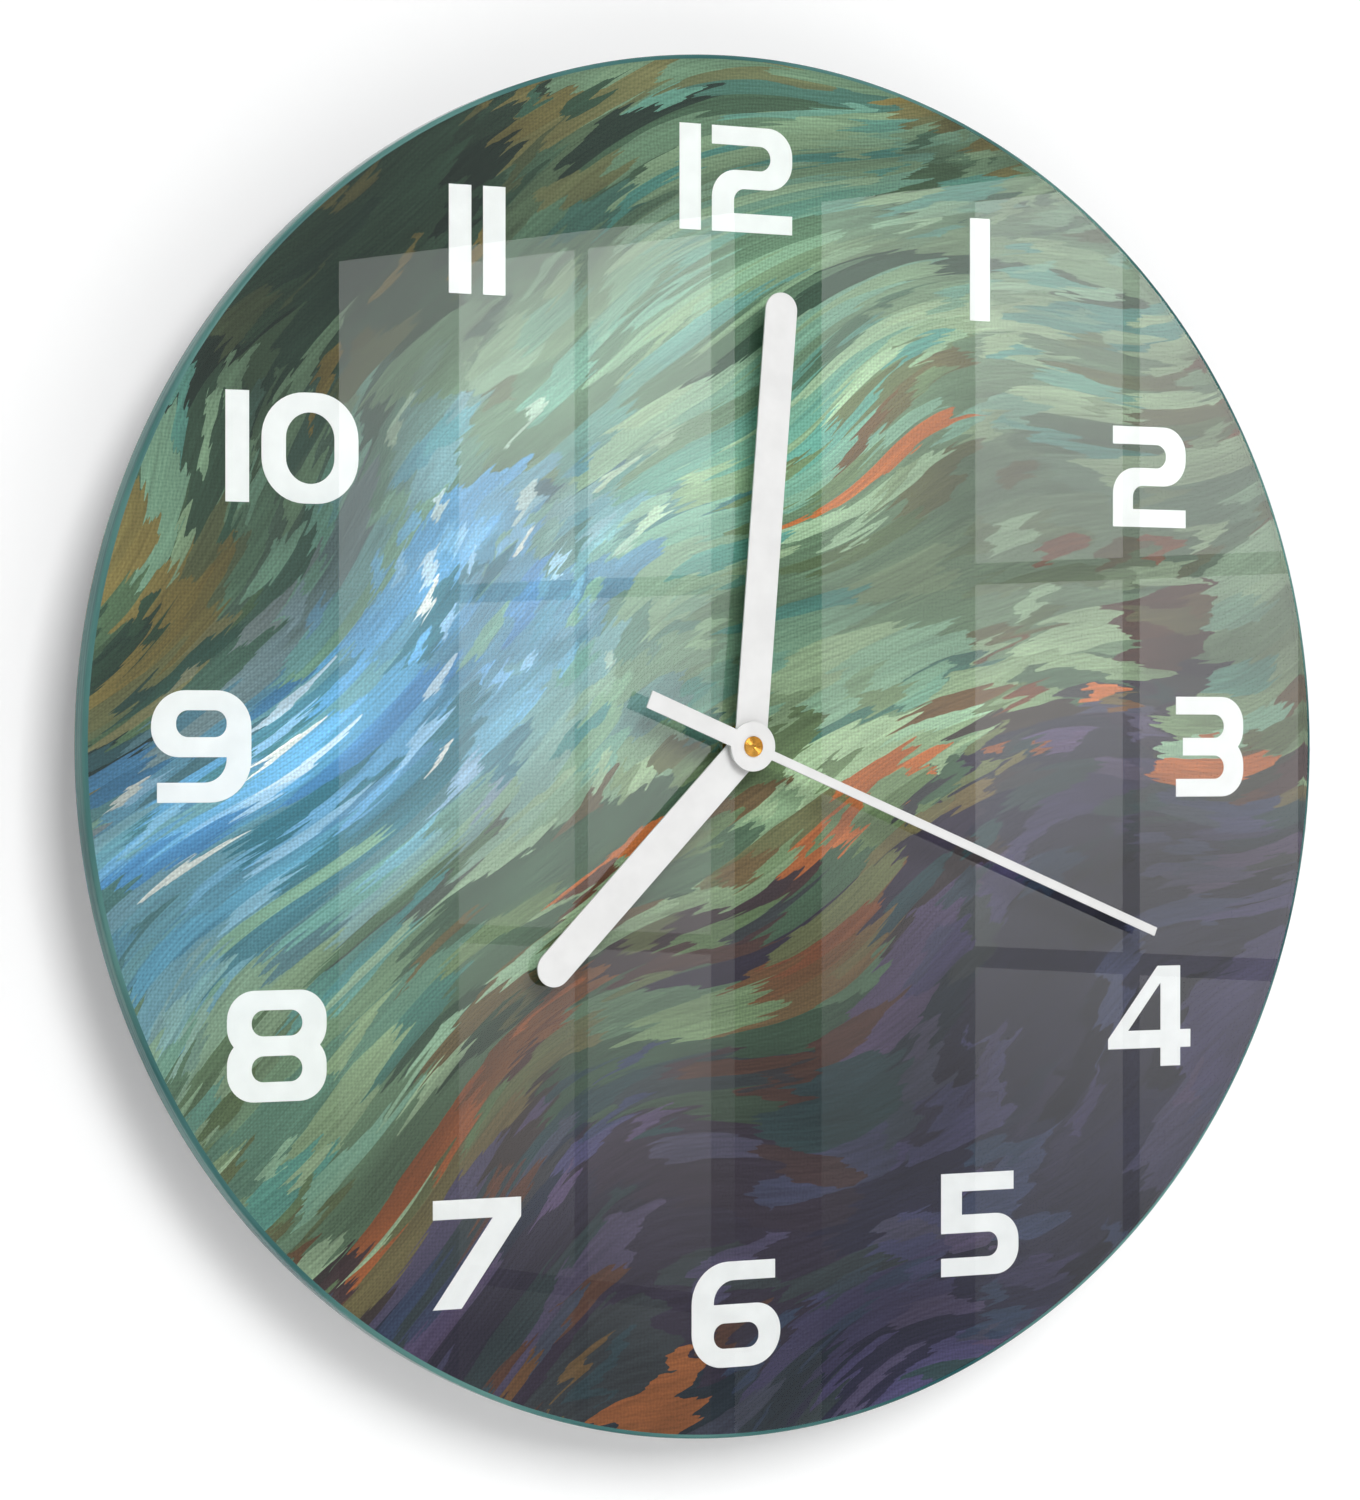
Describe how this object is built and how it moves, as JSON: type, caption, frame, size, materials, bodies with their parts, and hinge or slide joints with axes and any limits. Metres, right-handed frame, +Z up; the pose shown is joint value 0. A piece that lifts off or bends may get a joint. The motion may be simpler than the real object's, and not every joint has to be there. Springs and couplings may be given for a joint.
{
  "type": "wall clock",
  "caption": "Round frameless glass wall clock with a picture printed behind the glass, white numerals, straight hands and a battery quartz movement on the back.",
  "frame": {"origin": "centre of the nail hole in the hanger plate", "axes": "+Z up the dial, -Y out of the dial's front, +X to the right seen from the front"},
  "size_m": [0.3, 0.0306, 0.3],
  "materials": {
    "clear_glass": "polished float glass with a faint green edge",
    "printed_picture": "printed film in muted greens, blues and ochres",
    "white_ink": "flat white ink",
    "black_rubber": "matt",
    "brass": "turned",
    "white_plastic": "moulded",
    "white_paint": "matt white paint on thin aluminium",
    "spring_steel": "bright",
    "black_plastic": "moulded, fine grained",
    "dark_magnet": "sintered",
    "soft_iron": "stamped",
    "enamelled_copper": "fine enamelled copper wire",
    "board_laminate": "brown laminate",
    "cell_jacket": "plain printed jacket, no label text",
    "zinc_steel": "zinc plated stamping"
  },
  "bodies": {
    "dial": {"glass_dial": "clear_glass", "printed_film": "printed_picture", "hour_numerals": "white_ink", "dial_gasket": "black_rubber", "threaded_bush": "brass", "front_washer": "white_plastic", "ring_nut": "brass", "stator_plate": "soft_iron", "coil_bobbin": "white_plastic", "coil_winding": "enamelled_copper", "coil_core": "soft_iron", "circuit_board": "board_laminate", "quartz_crystal": "spring_steel", "chip_blob": "black_plastic", "movement_case": "black_plastic", "back_cover": "black_plastic", "middle_plate": "black_plastic", "train_bridge": "black_plastic", "bridge_screws": "spring_steel", "stator_screws": "spring_steel", "cover_screws": "spring_steel", "positive_contact": "spring_steel", "negative_contact": "spring_steel", "hanger_plate": "zinc_steel", "wall_spacers": "black_rubber"},
    "battery": {"battery": "cell_jacket"},
    "rotor": {"rotor_pinion": "white_plastic", "rotor_magnet": "dark_magnet"},
    "intermediate": {"intermediate_wheel": "white_plastic"},
    "seconds": {"seconds_wheel": "white_plastic", "seconds_arbor": "spring_steel", "seconds_hand": "white_paint", "seconds_boss": "brass"},
    "third": {"third_wheel": "white_plastic"},
    "minutes": {"cannon_pinion": "white_plastic", "centre_wheel": "white_plastic", "clutch_spring": "spring_steel", "minute_hand": "white_paint"},
    "setting": {"minute_wheel": "white_plastic", "setting_knob": "black_plastic"},
    "hours": {"hour_wheel": "white_plastic", "hour_hand": "white_paint"}
  },
  "joints": [
    {"name": "seconds_turn", "type": "hinge", "parent": "dial", "child": "seconds", "pos_m": [0, -0.018, -0.03602], "axis": [0, 1, 0], "continuous": true},
    {"name": "rotor_turn", "type": "hinge", "parent": "dial", "child": "rotor", "pos_m": [-0.00417, -0.018, -0.0223], "axis": [0, 1, 0], "continuous": true},
    {"name": "intermediate_turn", "type": "hinge", "parent": "dial", "child": "intermediate", "pos_m": [-0.00067, -0.018, -0.02836], "axis": [0, 1, 0], "continuous": true},
    {"name": "third_turn", "type": "hinge", "parent": "dial", "child": "third", "pos_m": [-0.00904, -0.018, -0.03442], "axis": [0, 1, 0], "continuous": true},
    {"name": "minutes_turn", "type": "hinge", "parent": "dial", "child": "minutes", "pos_m": [0, -0.018, -0.03602], "axis": [0, 1, 0], "continuous": true},
    {"name": "setting_turn", "type": "hinge", "parent": "dial", "child": "setting", "pos_m": [0.00902, -0.018, -0.03273], "axis": [0, 1, 0], "continuous": true},
    {"name": "hours_turn", "type": "hinge", "parent": "dial", "child": "hours", "pos_m": [0, -0.018, -0.03602], "axis": [0, 1, 0], "continuous": true},
    {"name": "battery_out", "type": "slide", "parent": "dial", "child": "battery", "axis": [0, 1, 0], "range_m": [0, 0.025]}
  ],
  "couplings": [
    {"joint": "rotor_turn", "follows": "seconds_turn", "ratio": 30},
    {"joint": "intermediate_turn", "follows": "seconds_turn", "ratio": -5},
    {"joint": "third_turn", "follows": "seconds_turn", "ratio": -0.13333},
    {"joint": "minutes_turn", "follows": "seconds_turn", "ratio": 0.016667},
    {"joint": "setting_turn", "follows": "seconds_turn", "ratio": -0.0055556},
    {"joint": "hours_turn", "follows": "seconds_turn", "ratio": 0.0013889}
  ]
}
